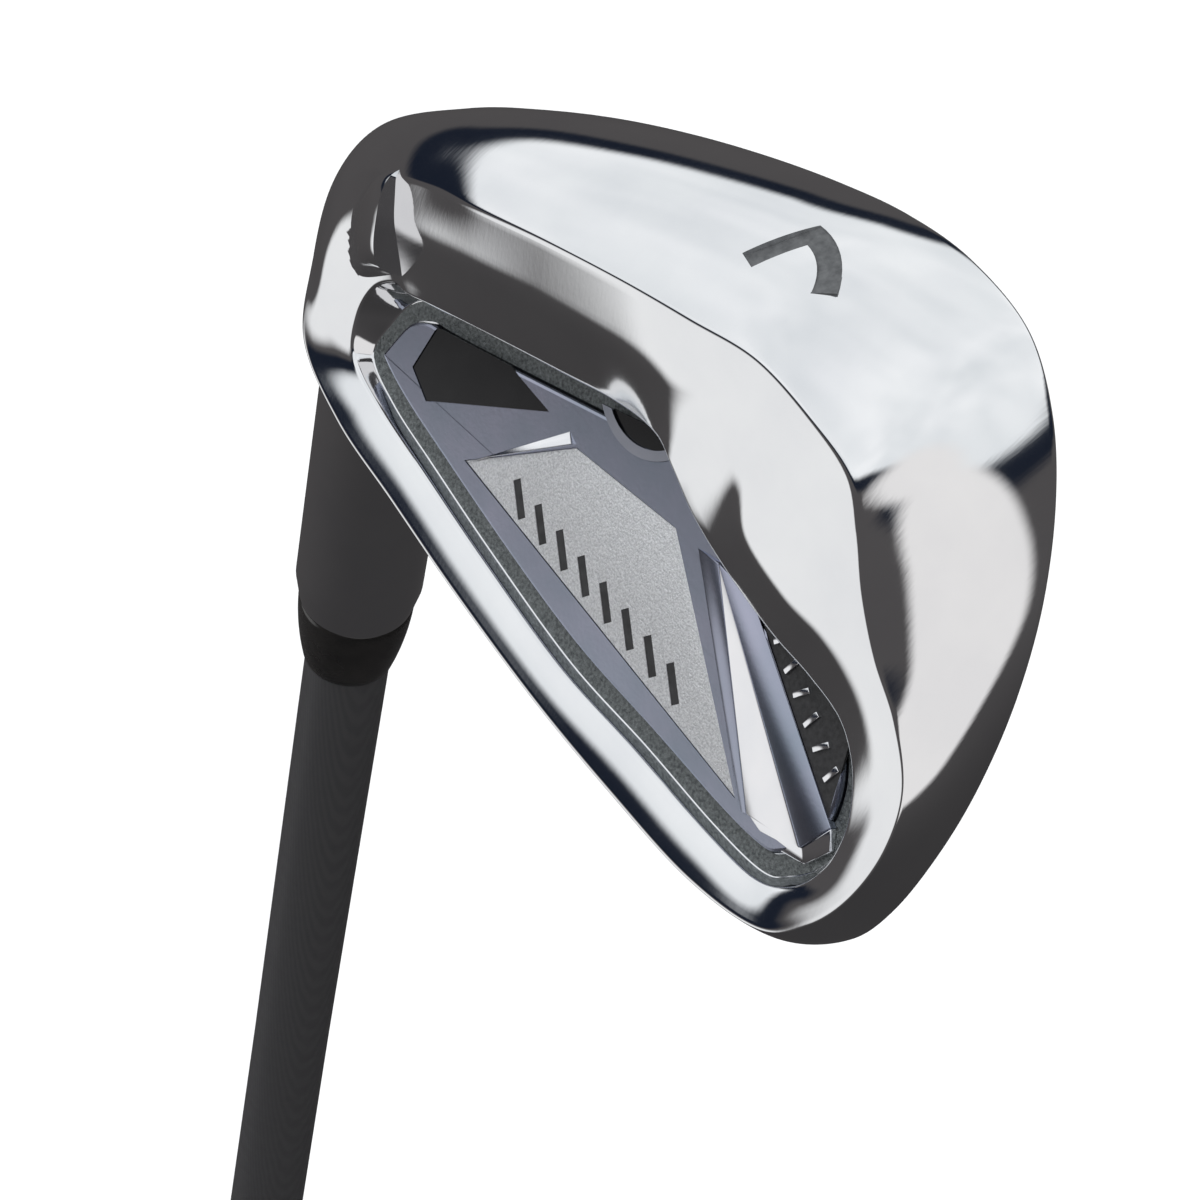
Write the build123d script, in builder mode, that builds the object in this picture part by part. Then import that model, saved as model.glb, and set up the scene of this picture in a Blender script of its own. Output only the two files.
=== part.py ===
from build123d import *
from math import cos, radians, sin
import os

# Left-handed cavity-back 7-iron, in millimetres.
# +Z runs up the shaft from the butt of the grip to the head, so the head is on top.
# +X points from heel to toe, -Y is the back of the head (the cavity), +Y the hitting face.
# The origin is the centre of the vent hole at the butt end.

# ---- driving dimensions ----
club_length = 940.0             # butt to where the shaft axis meets the ground at address
lie_angle = radians(63.0)       # shaft to ground, at address
loft_angle = radians(31.7)      # face to the vertical, at address
lead_height = 2.2        # leading edge above the ground
face_thickness = 2.2     # steel behind the ball, under the badge
ledge_depth = 3.2        # cavity floor round the badge, measured from the face
top_edge = 1.3           # width of the rounded edge along the topline
sole_low_share = 0.45    # where the lowest point of the sole lies, from front to back
face_stock = 0.6         # metal left in front of the face before it is milled flat

hosel_top = 77.0         # end of the hosel, from the ground along the shaft
hosel_radius = 6.6
hosel_end_radius = 6.05
hosel_end_taper = 3.0    # length of the turned end under the ferrule
hosel_root = 33.0        # where the straight hosel starts, inside the heel block
heel_block_top = 38.0    # where the heel block becomes round
heel_block_x = 4.0       # where the heel block leaves the blade
bore_radius = 4.72
bore_bottom = 41.0
ferrule_length = 10.0
tip_radius = 4.51        # 0.355 inch tip
tip_parallel = 120.0     # length of the tip that has no taper
butt_radius = 7.62       # 0.600 inch butt
shaft_bore_tip = 2.3
shaft_bore_butt = 6.6
weight_head = 1.5
weight_pin = 14.0

grip_length = 265.0
grip_butt_radius = 13.4
grip_mouth_radius = 8.3
tape_thickness = 0.25
cap_thickness = 5.0
cap_flange = 1.6
vent_radius = 1.6

groove_count = 13
groove_pitch = 3.6
groove_first = 5.0       # height of the lowest groove up the face
groove_width = 0.9
groove_depth = 0.5
groove_heel = 14.0
groove_toe = 62.0
groove_break = 33.0      # above this height the grooves start along a slanted line
groove_slant = 2.1       # how fast they recede from the heel there

number_depth = 0.7
paint_thickness = 0.25
paint_gap = 0.03

pad_thickness = 0.4      # double-sided foam tape
badge_thickness = 1.3
badge_gap = 1.9          # cavity wall to the badge
pocket_gap = 1.75        # cavity wall to the pocket that holds the badge
pad_gap = 2.3            # cavity wall to the tape pad
badge_edge = 0.4         # chamfer round the badge
inlay_depth = 0.35
inlay_gap = 0.04         # play round each inlay
panel_sink = 0.05        # the silver panel below the frame
inlay_sink = 0.1         # the black inlays below the frame
ring_rise = 0.15         # the emblem ring above the frame
emblem_radius = 7.0
emblem_ring_width = 0.9
bar_count = 8            # slanted bars on the badge panel
bar_length = 3.4
bar_width = 0.9
bar_angle = 62.0
bar_depth = 0.12

epoxy_start = 0.5        # adhesive stops just short of the hosel end
bore_slack = 0.05        # weight pin in the shaft bore
ferrule_lip = 0.35       # thickness of the ferrule at its thin end
ferrule_swell = 1.2      # its thickness at mid-length
beyond = 2.0             # how far a cut runs past the surface
cavity_clear = 25.0      # the cavity is open to the back over this height

# ---- directions of the head at address, written in the part's own frame ----
TOE = Vector(sin(lie_angle), 0, cos(lie_angle))
BACK = Vector(0, -1, 0)
SKY = Vector(cos(lie_angle), 0, -sin(lie_angle))
FACE_UP = BACK * sin(loft_angle) + SKY * cos(loft_angle)
INTO = BACK * cos(loft_angle) - SKY * sin(loft_angle)
ground = Vector(0, 0, club_length)
lead = ground + SKY * lead_height
tip_z = club_length - bore_bottom - weight_head
parallel_z = tip_z - tip_parallel
hosel_end_z = club_length - hosel_top
# tangent plane of the sole at the club number: X to the toe, Y to the face
sole_plane = Plane(
    origin=ground + TOE * 55.5 + BACK * 10.8 + SKY * 1.75,
    x_dir=TOE,
    z_dir=TOE * 0.14 + BACK * 0.22 - SKY * 0.96,
)

os.makedirs("parts", exist_ok=True)


def behind_face(depth):
    """Plane parallel to the face, depth mm behind it: X heel to toe, Y up the face."""
    return Plane(origin=lead + INTO * depth, x_dir=TOE, z_dir=INTO * -1)


def across(x):
    """Plane across the blade at x: local X points back, local Y up."""
    return Plane(origin=ground + TOE * x, x_dir=BACK, z_dir=TOE)


def rear(up, depth):
    """A place given up the face and behind it, in the coordinates of across()."""
    back = up * sin(loft_angle) + depth * cos(loft_angle)
    height = lead_height + up * cos(loft_angle) - depth * sin(loft_angle)
    return (back, height)


def on_shaft(z):
    return Plane.XY.offset(z)


def shaft_radius(z):
    """Outer radius of the shaft where it tapers, at a height above the butt."""
    share = (parallel_z - z) / (parallel_z - cap_thickness)
    return tip_radius + (butt_radius - tip_radius) * share


def number_outline():
    """Outline of the 7, inside a BuildLine: the bar, then the curved stem."""
    Polyline((-3.7, -3.1), (-5.3, -2.3), (-2.0, 3.1))
    ThreePointArc((-2.0, 3.1), (2.1, 0.8), (3.9, -2.0))
    Line((3.9, -2.0), (2.1, -2.9))
    ThreePointArc((2.1, -2.9), (1.0, -0.8), (-1.2, 0.7))
    Line((-1.2, 0.7), (-3.7, -3.1))


def cavity_outline():
    """Mouth of the cavity, inside a BuildLine on any plane parallel to the face."""
    FilletPolyline(*cavity_corners, radius=cavity_corner_radius, close=True)


def tube(inner, outer, low, high):
    """Half section of a tube round the shaft axis, for a revolve: radii at its ends."""
    Polyline((inner[0], low), (outer[0], low), (outer[1], high), (inner[1], high), close=True)


def save(part, name, colour):
    part.label = name
    part.color = Color(*colour)
    export_step(part, f"parts/{name}.step")


# ---- head casting ----
# Sections of the blade from heel to toe. Each is its place along the ground line, the
# height of the leading edge and of the topline up the face, the topline's thickness,
# the ridge, crease and lip of the sole flange as (height up the face, depth behind it),
# and the height of the sole above the ground at mid-width.
sections = [
    (-9.0, 14.0, 24.0, 1.8, (17.0, 1.6), (18.5, 2.0), (20.0, 2.2), 14.3),
    (-4.0, 8.0, 28.5, 4.6, (11.5, 5.5), (14.5, 6.2), (18.0, 6.4), 7.7),
    (2.0, 5.0, 32.0, 5.0, (9.8, 9.5), (13.2, 9.8), (17.6, 8.8), 4.1),
    (9.0, 2.7, 36.0, 5.0, (9.4, 12.2), (12.9, 12.0), (18.1, 9.0), 2.1),
    (18.0, 0.9, 40.6, 5.0, (9.8, 13.8), (13.4, 13.0), (18.9, 9.0), 0.8),
    (30.0, 0.0, 46.5, 5.0, (10.9, 14.4), (14.9, 13.2), (20.1, 9.0), 0.1),
    (42.0, 0.0, 51.7, 5.0, (11.8, 14.4), (16.6, 13.2), (21.6, 9.0), 0.2),
    (52.0, 0.7, 55.5, 5.0, (13.6, 14.0), (18.6, 12.8), (27.6, 9.0), 0.9),
    (60.0, 2.3, 57.6, 5.0, (17.2, 13.0), (24.0, 11.6), (33.5, 8.6), 2.2),
    (67.0, 5.2, 56.4, 5.0, (22.4, 11.6), (29.0, 10.0), (37.2, 7.6), 4.8),
    (73.0, 10.8, 48.8, 4.6, (34.0, 8.6), (37.6, 7.8), (42.4, 6.2), 10.0),
    (76.2, 17.0, 40.6, 3.2, (32.0, 5.2), (34.5, 5.0), (37.0, 4.4), 15.8),
    (78.0, 24.0, 33.0, 1.4, (27.5, 1.6), (29.0, 2.0), (31.0, 1.8), 22.6),
]

# Outline of the heel block where it leaves the blade, as (height up the face, depth).
heel_block_corners = [(6.0, 1.0), (10.6, 8.6), (17.6, 8.2), (30.0, 4.6), (32.0, 0.6)]

# Mouth of the cavity, on any plane parallel to the face.
cavity_corners = [
    (8.5, 18.4),
    (43.0, 21.2),
    (50.0, 28.4),
    (67.4, 38.0),
    (69.0, 49.0),
    (62.5, 54.0),
    (52.0, 50.8),
    (34.0, 43.9),
    (15.0, 34.2),
    (2.5, 26.3),
]
cavity_corner_radius = 2.4

with BuildPart() as head:
    for x, lead_up, top_up, top_depth, ridge, crease, lip, low in sections:
        start = rear(lead_up, -face_stock)
        end = rear(*ridge)
        under = ((start[0] + end[0]) * sole_low_share, low)
        topline = rear(top_up - top_edge, top_depth)
        with BuildSketch(across(x)):
            with BuildLine():
                ThreePointArc(start, under, end)
                Polyline(end, rear(*crease), rear(*lip), topline, rear(top_up, -face_stock), start)
            make_face()
    loft()
    split(bisect_by=behind_face(0), keep=Keep.BOTTOM)

    # heel block, rising from the blade into the hosel
    with BuildSketch(across(heel_block_x)):
        with BuildLine():
            Polyline(*[rear(up, depth) for up, depth in heel_block_corners], close=True)
        make_face()
    with BuildSketch(on_shaft(club_length - heel_block_top)):
        Circle(hosel_radius)
    loft()

    # hosel, with a turned end for the ferrule
    with BuildSketch(on_shaft(hosel_end_z)):
        Circle(hosel_radius)
    extrude(amount=hosel_top - hosel_root)
    hosel_edge = head.edges().filter_by(GeomType.CIRCLE).sort_by(Axis.Z)[0]
    chamfer(hosel_edge, hosel_end_taper, hosel_radius - hosel_end_radius)

    # cavity, down to the ledge that carries the badge pocket
    with BuildSketch(behind_face(ledge_depth)):
        with BuildLine():
            cavity_outline()
        make_face()
    extrude(amount=-cavity_clear, mode=Mode.SUBTRACT)
    with BuildSketch(behind_face(face_thickness)):
        with BuildLine():
            cavity_outline()
        make_face()
        offset(amount=-pocket_gap)
    extrude(amount=-beyond, mode=Mode.SUBTRACT)

    # score lines on the hitting face
    for row in range(groove_count):
        up = groove_first + row * groove_pitch
        heel_end = groove_heel + max(0.0, up - groove_break) * groove_slant
        with BuildSketch(behind_face(groove_depth)):
            with Locations(((heel_end + groove_toe) / 2, up)):
                SlotOverall(groove_toe - heel_end, groove_width)
        extrude(amount=beyond, mode=Mode.SUBTRACT)

    # club number, engraved in the sole
    with BuildSketch(sole_plane.offset(-number_depth)):
        with BuildLine():
            number_outline()
        make_face()
    extrude(amount=number_depth + beyond, mode=Mode.SUBTRACT)

    # blind bore for the shaft tip
    with BuildSketch(on_shaft(hosel_end_z - beyond)):
        Circle(bore_radius)
    extrude(amount=hosel_top + beyond - bore_bottom, mode=Mode.SUBTRACT)
save(head.part, "head", (0.75, 0.76, 0.78))

# ---- badge in the cavity ----
pad_top = face_thickness + pad_thickness
badge_top = pad_top + badge_thickness
inlay_floor = badge_top - inlay_depth

with BuildPart() as badge_tape:
    with BuildSketch(behind_face(face_thickness)):
        with BuildLine():
            cavity_outline()
        make_face()
        offset(amount=-pad_gap)
    extrude(amount=-pad_thickness)
save(badge_tape.part, "badge_tape", (0.12, 0.12, 0.12))

# Outlines of the inlays, on the plane of the badge.
panel_corners = [(17.5, 31.2), (30.2, 26.8), (43.2, 30.1), (56.0, 48.6)]
window_corners = [(10.6, 21.2), (8.6, 25.2), (11.2, 27.6), (26.3, 24.8), (20.4, 22.2)]
strip_corners = [(53.0, 33.0), (65.6, 47.0), (65.9, 40.4), (59.4, 35.4)]
emblem_centre = (38.0, 18.8)

# Slanted bars, evenly spaced along the panel.
bar_places = [(25.0 + 3.1 * i, 32.6 + 1.35 * i) for i in range(bar_count)]

with BuildPart() as badge_frame:
    with BuildSketch(behind_face(pad_top)):
        with BuildLine():
            cavity_outline()
        make_face()
        offset(amount=-badge_gap)
    extrude(amount=-badge_thickness)
    top_edges = badge_frame.faces().sort_by(lambda f: f.center().dot(INTO))[-1].edges()
    chamfer(top_edges, badge_edge)
    with BuildSketch(behind_face(inlay_floor)):
        for corners in (panel_corners, window_corners, strip_corners):
            with BuildLine():
                Polyline(*corners, close=True)
            make_face()
        with Locations(emblem_centre):
            Circle(emblem_radius)
    extrude(amount=-beyond, mode=Mode.SUBTRACT)
save(badge_frame.part, "badge_frame", (0.45, 0.5, 0.58))

with BuildPart() as badge_panel:
    with BuildSketch(behind_face(inlay_floor)):
        with BuildLine():
            Polyline(*panel_corners, close=True)
        make_face()
        offset(amount=-inlay_gap)
    extrude(amount=-(inlay_depth - panel_sink))
    with BuildSketch(behind_face(badge_top - bar_depth - panel_sink)):
        for place in bar_places:
            with Locations(Location(place, bar_angle)):
                Rectangle(bar_length, bar_width)
    extrude(amount=-beyond, mode=Mode.SUBTRACT)
save(badge_panel.part, "badge_panel", (0.72, 0.74, 0.76))

with BuildPart() as panel_bars:
    with BuildSketch(behind_face(badge_top - bar_depth - panel_sink)):
        for place in bar_places:
            with Locations(Location(place, bar_angle)):
                Rectangle(bar_length, bar_width)
    extrude(amount=-bar_depth / 2)
save(panel_bars.part, "panel_bars", (0.1, 0.1, 0.11))

with BuildPart() as heel_window:
    with BuildSketch(behind_face(inlay_floor)):
        with BuildLine():
            Polyline(*window_corners, close=True)
        make_face()
        offset(amount=-inlay_gap)
    extrude(amount=-(inlay_depth - inlay_sink))
save(heel_window.part, "heel_window", (0.02, 0.02, 0.02))

with BuildPart() as toe_strip:
    with BuildSketch(behind_face(inlay_floor)):
        with BuildLine():
            Polyline(*strip_corners, close=True)
        make_face()
        offset(amount=-inlay_gap)
    extrude(amount=-(inlay_depth - inlay_sink))
save(toe_strip.part, "toe_strip", (0.03, 0.03, 0.03))

with BuildPart() as emblem_ring:
    with BuildSketch(behind_face(inlay_floor)):
        with BuildLine():
            cavity_outline()
        make_face()
        offset(amount=-pad_gap)
        with Locations(emblem_centre):
            Circle(emblem_radius - inlay_gap, mode=Mode.INTERSECT)
            Circle(emblem_radius - emblem_ring_width, mode=Mode.SUBTRACT)
    extrude(amount=-(inlay_depth + ring_rise))
save(emblem_ring.part, "emblem_ring", (0.7, 0.72, 0.76))

with BuildPart() as emblem_disc:
    with BuildSketch(behind_face(inlay_floor)):
        with BuildLine():
            cavity_outline()
        make_face()
        offset(amount=-pad_gap)
        with Locations(emblem_centre):
            Circle(emblem_radius - emblem_ring_width - inlay_gap, mode=Mode.INTERSECT)
    extrude(amount=-(inlay_depth - inlay_sink))
save(emblem_disc.part, "emblem_disc", (0.02, 0.02, 0.03))

with BuildPart() as number_paint:
    with BuildSketch(sole_plane.offset(-number_depth)):
        with BuildLine():
            number_outline()
        make_face()
        offset(amount=-paint_gap)
    extrude(amount=paint_thickness)
save(number_paint.part, "number_paint", (0.25, 0.26, 0.27))

# ---- shaft and what joins it to the head ----
with BuildPart() as shaft:
    with BuildSketch(Plane.XZ):
        with BuildLine():
            Polyline(
                (shaft_bore_butt, cap_thickness),
                (butt_radius, cap_thickness),
                (tip_radius, parallel_z),
                (tip_radius, tip_z),
                (shaft_bore_tip, tip_z),
                (shaft_bore_tip, parallel_z),
                close=True,
            )
        make_face()
    revolve(axis=Axis.Z)
save(shaft.part, "shaft", (0.17, 0.17, 0.19))

with BuildPart() as tip_weight:
    with BuildSketch(on_shaft(tip_z)):
        Circle(tip_radius)
    extrude(amount=weight_head)
    with BuildSketch(on_shaft(tip_z)):
        Circle(shaft_bore_tip - bore_slack)
    extrude(amount=-weight_pin)
    chamfer(tip_weight.edges().filter_by(GeomType.CIRCLE).sort_by(Axis.Z)[0], 0.4)
save(tip_weight.part, "tip_weight", (0.72, 0.58, 0.28))

with BuildPart() as hosel_epoxy:
    with BuildSketch(Plane.XZ):
        with BuildLine():
            tube(
                (tip_radius, tip_radius),
                (bore_radius, bore_radius),
                hosel_end_z + epoxy_start,
                tip_z + weight_head,
            )
        make_face()
    revolve(axis=Axis.Z)
save(hosel_epoxy.part, "hosel_epoxy", (0.75, 0.68, 0.45))

with BuildPart() as ferrule:
    with BuildSketch(Plane.XZ):
        with BuildLine():
            low = hosel_end_z - ferrule_length
            Polyline(
                (hosel_end_radius, hosel_end_z),
                (tip_radius, hosel_end_z),
                (tip_radius, low),
                (tip_radius + ferrule_lip, low),
            )
            ThreePointArc(
                (tip_radius + ferrule_lip, low),
                (tip_radius + ferrule_swell, low + ferrule_length / 2),
                (hosel_end_radius, hosel_end_z),
            )
        make_face()
    revolve(axis=Axis.Z)
save(ferrule.part, "ferrule", (0.02, 0.02, 0.02))

# ---- grip ----
tape_low = cap_thickness
tape_high = grip_length - 6


def tape_radius(z):
    return shaft_radius(z) + tape_thickness


with BuildPart() as grip_tape:
    with BuildSketch(Plane.XZ):
        with BuildLine():
            tube(
                (shaft_radius(tape_low), shaft_radius(tape_high)),
                (tape_radius(tape_low), tape_radius(tape_high)),
                tape_low,
                tape_high,
            )
        make_face()
    revolve(axis=Axis.Z)
save(grip_tape.part, "grip_tape", (0.85, 0.83, 0.75))

with BuildPart() as grip:
    with BuildSketch(Plane.XZ):
        with BuildLine():
            Polyline(
                (tape_radius(tape_low), cap_flange),
                (grip_butt_radius, cap_flange),
                (grip_butt_radius - 0.4, cap_flange + 10),
                (grip_butt_radius - 1.6, 70),
                (grip_mouth_radius + 0.9, grip_length - 25),
                (grip_mouth_radius, grip_length - 2),
                (grip_mouth_radius - 0.5, grip_length),
                (shaft_radius(grip_length), grip_length),
                (shaft_radius(tape_high), tape_high),
                (tape_radius(tape_high), tape_high),
                (tape_radius(tape_low), tape_low),
                close=True,
            )
        make_face()
    revolve(axis=Axis.Z)
save(grip.part, "grip", (0.05, 0.05, 0.05))

with BuildPart() as grip_cap:
    with BuildSketch(Plane.XZ):
        with BuildLine():
            Polyline(
                (vent_radius, 0),
                (grip_butt_radius - 2.0, 0),
                (grip_butt_radius - 0.5, 0.5),
                (grip_butt_radius, cap_flange),
                (tape_radius(tape_low), cap_flange),
                (tape_radius(tape_low), cap_thickness),
                (vent_radius, cap_thickness),
                close=True,
            )
        make_face()
    revolve(axis=Axis.Z)
save(grip_cap.part, "grip_cap", (0.08, 0.08, 0.08))
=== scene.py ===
import bmesh
import bpy
import math
import numpy as np
from mathutils import Matrix, Vector


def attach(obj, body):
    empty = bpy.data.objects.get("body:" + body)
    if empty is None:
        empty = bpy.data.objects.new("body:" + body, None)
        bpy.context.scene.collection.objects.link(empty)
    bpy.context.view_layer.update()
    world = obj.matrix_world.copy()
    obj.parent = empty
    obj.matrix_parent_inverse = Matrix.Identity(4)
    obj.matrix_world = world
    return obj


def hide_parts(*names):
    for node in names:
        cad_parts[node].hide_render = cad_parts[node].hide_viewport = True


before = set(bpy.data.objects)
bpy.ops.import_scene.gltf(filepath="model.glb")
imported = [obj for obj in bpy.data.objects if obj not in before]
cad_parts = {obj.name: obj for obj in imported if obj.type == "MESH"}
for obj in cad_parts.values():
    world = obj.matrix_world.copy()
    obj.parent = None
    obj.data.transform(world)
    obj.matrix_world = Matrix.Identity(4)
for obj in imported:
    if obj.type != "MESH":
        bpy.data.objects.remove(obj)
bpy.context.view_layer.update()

MM = 0.001
EASING_ROUNDS = 40

# ---- the club's dimensions, in millimetres, as in the CAD model ----
CLUB_LENGTH = 940.0
LIE = math.radians(63.0)
LOFT = math.radians(31.7)
LEAD_HEIGHT = 2.2
LEDGE_DEPTH = 3.2
POCKET_DEPTH = 2.2
POCKET_GAP = 1.75
BADGE_GAP = 1.9
PAD_TOP = 2.6
BADGE_TOP = 3.9
PANEL_TOP = 3.85
HOSEL_TOP = 77.0
HOSEL_RADIUS = 6.6
HOSEL_END_RADIUS = 6.05
HOSEL_END_TAPER = 3.0
BORE_RADIUS = 4.72
BORE_BOTTOM = 41.0
FERRULE_LENGTH = 10.0
TIP_RADIUS = 4.51
TIP_Z = CLUB_LENGTH - BORE_BOTTOM - 1.5
PARALLEL_Z = TIP_Z - 120.0
BUTT_RADIUS = 7.62
GRIP_BUTT_RADIUS = 13.4
CAP_THICKNESS = 5.0
CAP_FLANGE = 1.6
VENT_RADIUS = 1.6

# ---- directions of the head at address, in the part's frame ----
TOE = np.array([math.sin(LIE), 0.0, math.cos(LIE)])
BACK = np.array([0.0, -1.0, 0.0])
SKY = np.array([math.cos(LIE), 0.0, -math.sin(LIE)])
FACE_UP = BACK * math.sin(LOFT) + SKY * math.cos(LOFT)
INTO = BACK * math.cos(LOFT) - SKY * math.sin(LOFT)
GROUND = np.array([0.0, 0.0, CLUB_LENGTH])
LEAD = GROUND + SKY * LEAD_HEIGHT


def on_head(points):
    """Places given as (toward the toe, up the face, depth behind it) in mm, in the frame's metres."""
    p = np.asarray(points, float)
    return (LEAD + p[..., :1] * TOE + p[..., 1:2] * FACE_UP + p[..., 2:3] * INTO) * MM


# ---------------------------------------------------------------- curves
def closed_spline(points, count):
    """Evenly parametrised closed Catmull-Rom curve through the points."""
    p = np.asarray(points, float)
    n = len(p)
    t = np.arange(count) * n / count
    i = np.floor(t).astype(int)
    f = (t - i)[:, None]
    p0, p1, p2, p3 = (p[(i + k) % n] for k in (-1, 0, 1, 2))
    return 0.5 * (
        2 * p1
        + (p2 - p0) * f
        + (2 * p0 - 5 * p1 + 4 * p2 - p3) * f**2
        + (3 * p1 - p0 - 3 * p2 + p3) * f**3
    )


def inset(loop, amount):
    """Moves a closed loop of (a, b) places inwards, and eases the kinks that this leaves."""
    tangent = np.roll(loop, -1, 0) - np.roll(loop, 1, 0)
    tangent /= np.linalg.norm(tangent, axis=1)[:, None]
    inward = np.stack([-tangent[:, 1], tangent[:, 0]], 1)
    moved = loop + inward * amount
    for _ in range(EASING_ROUNDS if amount > 1.0 else 0):
        moved = (np.roll(moved, -1, 0) + moved * 2 + np.roll(moved, 1, 0)) / 4
    return moved


def inset_polygon(loop, amount):
    """Moves each side of a polygon inwards by the same amount."""
    out = []
    n = len(loop)
    for k in range(n):
        a, b, c = loop[k - 1], loop[k], loop[(k + 1) % n]
        u, v = (b - a) / np.linalg.norm(b - a), (c - b) / np.linalg.norm(c - b)
        nu, nv = np.array([-u[1], u[0]]), np.array([-v[1], v[0]])
        share = 1 + nu.dot(nv)
        out.append(b + (nu + nv) / max(share, 0.3) * amount)
    return np.array(out)


# ---------------------------------------------------------------- mesh helpers
def add_object(name, verts, faces, slot_name, material, smooth_angle=40.0):
    mesh = bpy.data.meshes.new(name)
    mesh.from_pydata([tuple(v) for v in verts], [], [tuple(f) for f in faces])
    mesh.validate()
    mesh.update()
    obj = bpy.data.objects.new(name, mesh)
    bpy.context.scene.collection.objects.link(obj)
    finish_object(obj, material, smooth_angle)
    return obj


def finish_object(obj, material, smooth_angle=40.0):
    mesh = obj.data
    mesh.materials.clear()
    mesh.materials.append(material)
    for poly in mesh.polygons:
        poly.use_smooth = True
        poly.material_index = 0
    if smooth_angle is not None:
        mesh.set_sharp_from_angle(angle=math.radians(smooth_angle))
    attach(obj, "root")


def skin(rings, cap_start=True, cap_end=True):
    """Faces of a tube through closed rings of the same length."""
    count = len(rings[0])
    verts = np.concatenate(rings)
    faces = []
    for k in range(len(rings) - 1):
        low, high = k * count, (k + 1) * count
        for j in range(count):
            i = (j + 1) % count
            faces.append((low + j, low + i, high + i, high + j))
    if cap_start:
        faces.append(tuple(reversed(range(count))))
    if cap_end:
        last = (len(rings) - 1) * count
        faces.append(tuple(range(last, last + count)))
    return verts, faces


def lathe(profile, count=96):
    """Solid of revolution about the shaft axis, from (radius, z) in mm, as a closed profile."""
    angles = np.arange(count) * 2 * math.pi / count
    verts = []
    for radius, z in profile:
        verts += [(radius * math.cos(t) * MM, radius * math.sin(t) * MM, z * MM) for t in angles]
    faces = []
    rows = len(profile)
    for k in range(rows):
        low, high = k * count, ((k + 1) % rows) * count
        for j in range(count):
            i = (j + 1) % count
            faces.append((low + j, low + i, high + i, high + j))
    return verts, faces


def prism(name, outline, place, low, high):
    """Solid between two depths of a flat outline; place turns (a, b, depth) into the frame."""
    count = len(outline)
    rings = [place(np.array([(a, b, d) for a, b in outline])) for d in (low, high)]
    verts, faces = skin(rings)
    mesh = bpy.data.meshes.new(name)
    mesh.from_pydata([tuple(v) for v in verts], [], faces)
    mesh.update()
    fix_normals(mesh)
    obj = bpy.data.objects.new(name, mesh)
    bpy.context.scene.collection.objects.link(obj)
    return obj


def fix_normals(mesh):
    work = bmesh.new()
    work.from_mesh(mesh)
    bmesh.ops.recalc_face_normals(work, faces=work.faces)
    work.to_mesh(mesh)
    work.free()


def boolean(obj, cutters, operation):
    """Applies one exact boolean per cutter and removes the cutters."""
    for cutter in cutters:
        modifier = obj.modifiers.new("cut", "BOOLEAN")
        modifier.object = cutter
        modifier.operation = operation
        modifier.solver = "EXACT"
    graph = bpy.context.evaluated_depsgraph_get()
    mesh = bpy.data.meshes.new_from_object(obj.evaluated_get(graph))
    obj.modifiers.clear()
    obj.data = mesh
    for cutter in cutters:
        bpy.data.objects.remove(cutter, do_unlink=True)


# ---------------------------------------------------------------- materials
def new_material(name):
    material = bpy.data.materials.new(name)
    material.use_nodes = True
    tree = material.node_tree
    shader = tree.nodes["Principled BSDF"]
    coords = tree.nodes.new("ShaderNodeTexCoord")
    return material, tree, shader, coords.outputs["Object"]


def noise(tree, vector, scale, detail=4.0, roughness=0.55):
    node = tree.nodes.new("ShaderNodeTexNoise")
    node.inputs["Scale"].default_value = scale
    node.inputs["Detail"].default_value = detail
    node.inputs["Roughness"].default_value = roughness
    tree.links.new(vector, node.inputs["Vector"])
    return node.outputs["Fac"]


def stretched(tree, vector, scale, rotation=(0, 0, 0)):
    node = tree.nodes.new("ShaderNodeMapping")
    node.inputs["Scale"].default_value = scale
    node.inputs["Rotation"].default_value = rotation
    tree.links.new(vector, node.inputs["Vector"])
    return node.outputs["Vector"]


def ramp(tree, value, stops):
    node = tree.nodes.new("ShaderNodeValToRGB")
    elements = node.color_ramp.elements
    while len(elements) < len(stops):
        elements.new(0.5)
    for element, (position, colour) in zip(elements, stops):
        element.position = position
        element.color = (*colour, 1.0)
    tree.links.new(value, node.inputs["Fac"])
    return node.outputs["Color"]


def bump(tree, shader, height, strength, distance):
    node = tree.nodes.new("ShaderNodeBump")
    node.inputs["Strength"].default_value = strength
    node.inputs["Distance"].default_value = distance
    tree.links.new(height, node.inputs["Height"])
    tree.links.new(node.outputs["Normal"], shader.inputs["Normal"])


def finish_material(name, colours, roughness, metallic=0.0, grain=400.0, bumps=None, coat=0.0):
    """A surface whose colour and roughness both vary with a noise of the given scale."""
    material, tree, shader, vector = new_material(name)
    shader.inputs["Metallic"].default_value = metallic
    if coat:
        shader.inputs["Coat Weight"].default_value = coat
        shader.inputs["Coat Roughness"].default_value = 0.08
    value = noise(tree, vector, grain)
    tree.links.new(ramp(tree, value, [(0.3, colours[0]), (0.7, colours[1])]), shader.inputs["Base Color"])
    low, high = roughness
    tree.links.new(
        ramp(tree, noise(tree, vector, grain * 0.37), [(0.3, (low,) * 3), (0.7, (high,) * 3)]),
        shader.inputs["Roughness"],
    )
    if bumps:
        scale, strength, distance = bumps
        bump(tree, shader, noise(tree, vector, scale, 3.0), strength, distance)
    return material


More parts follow.
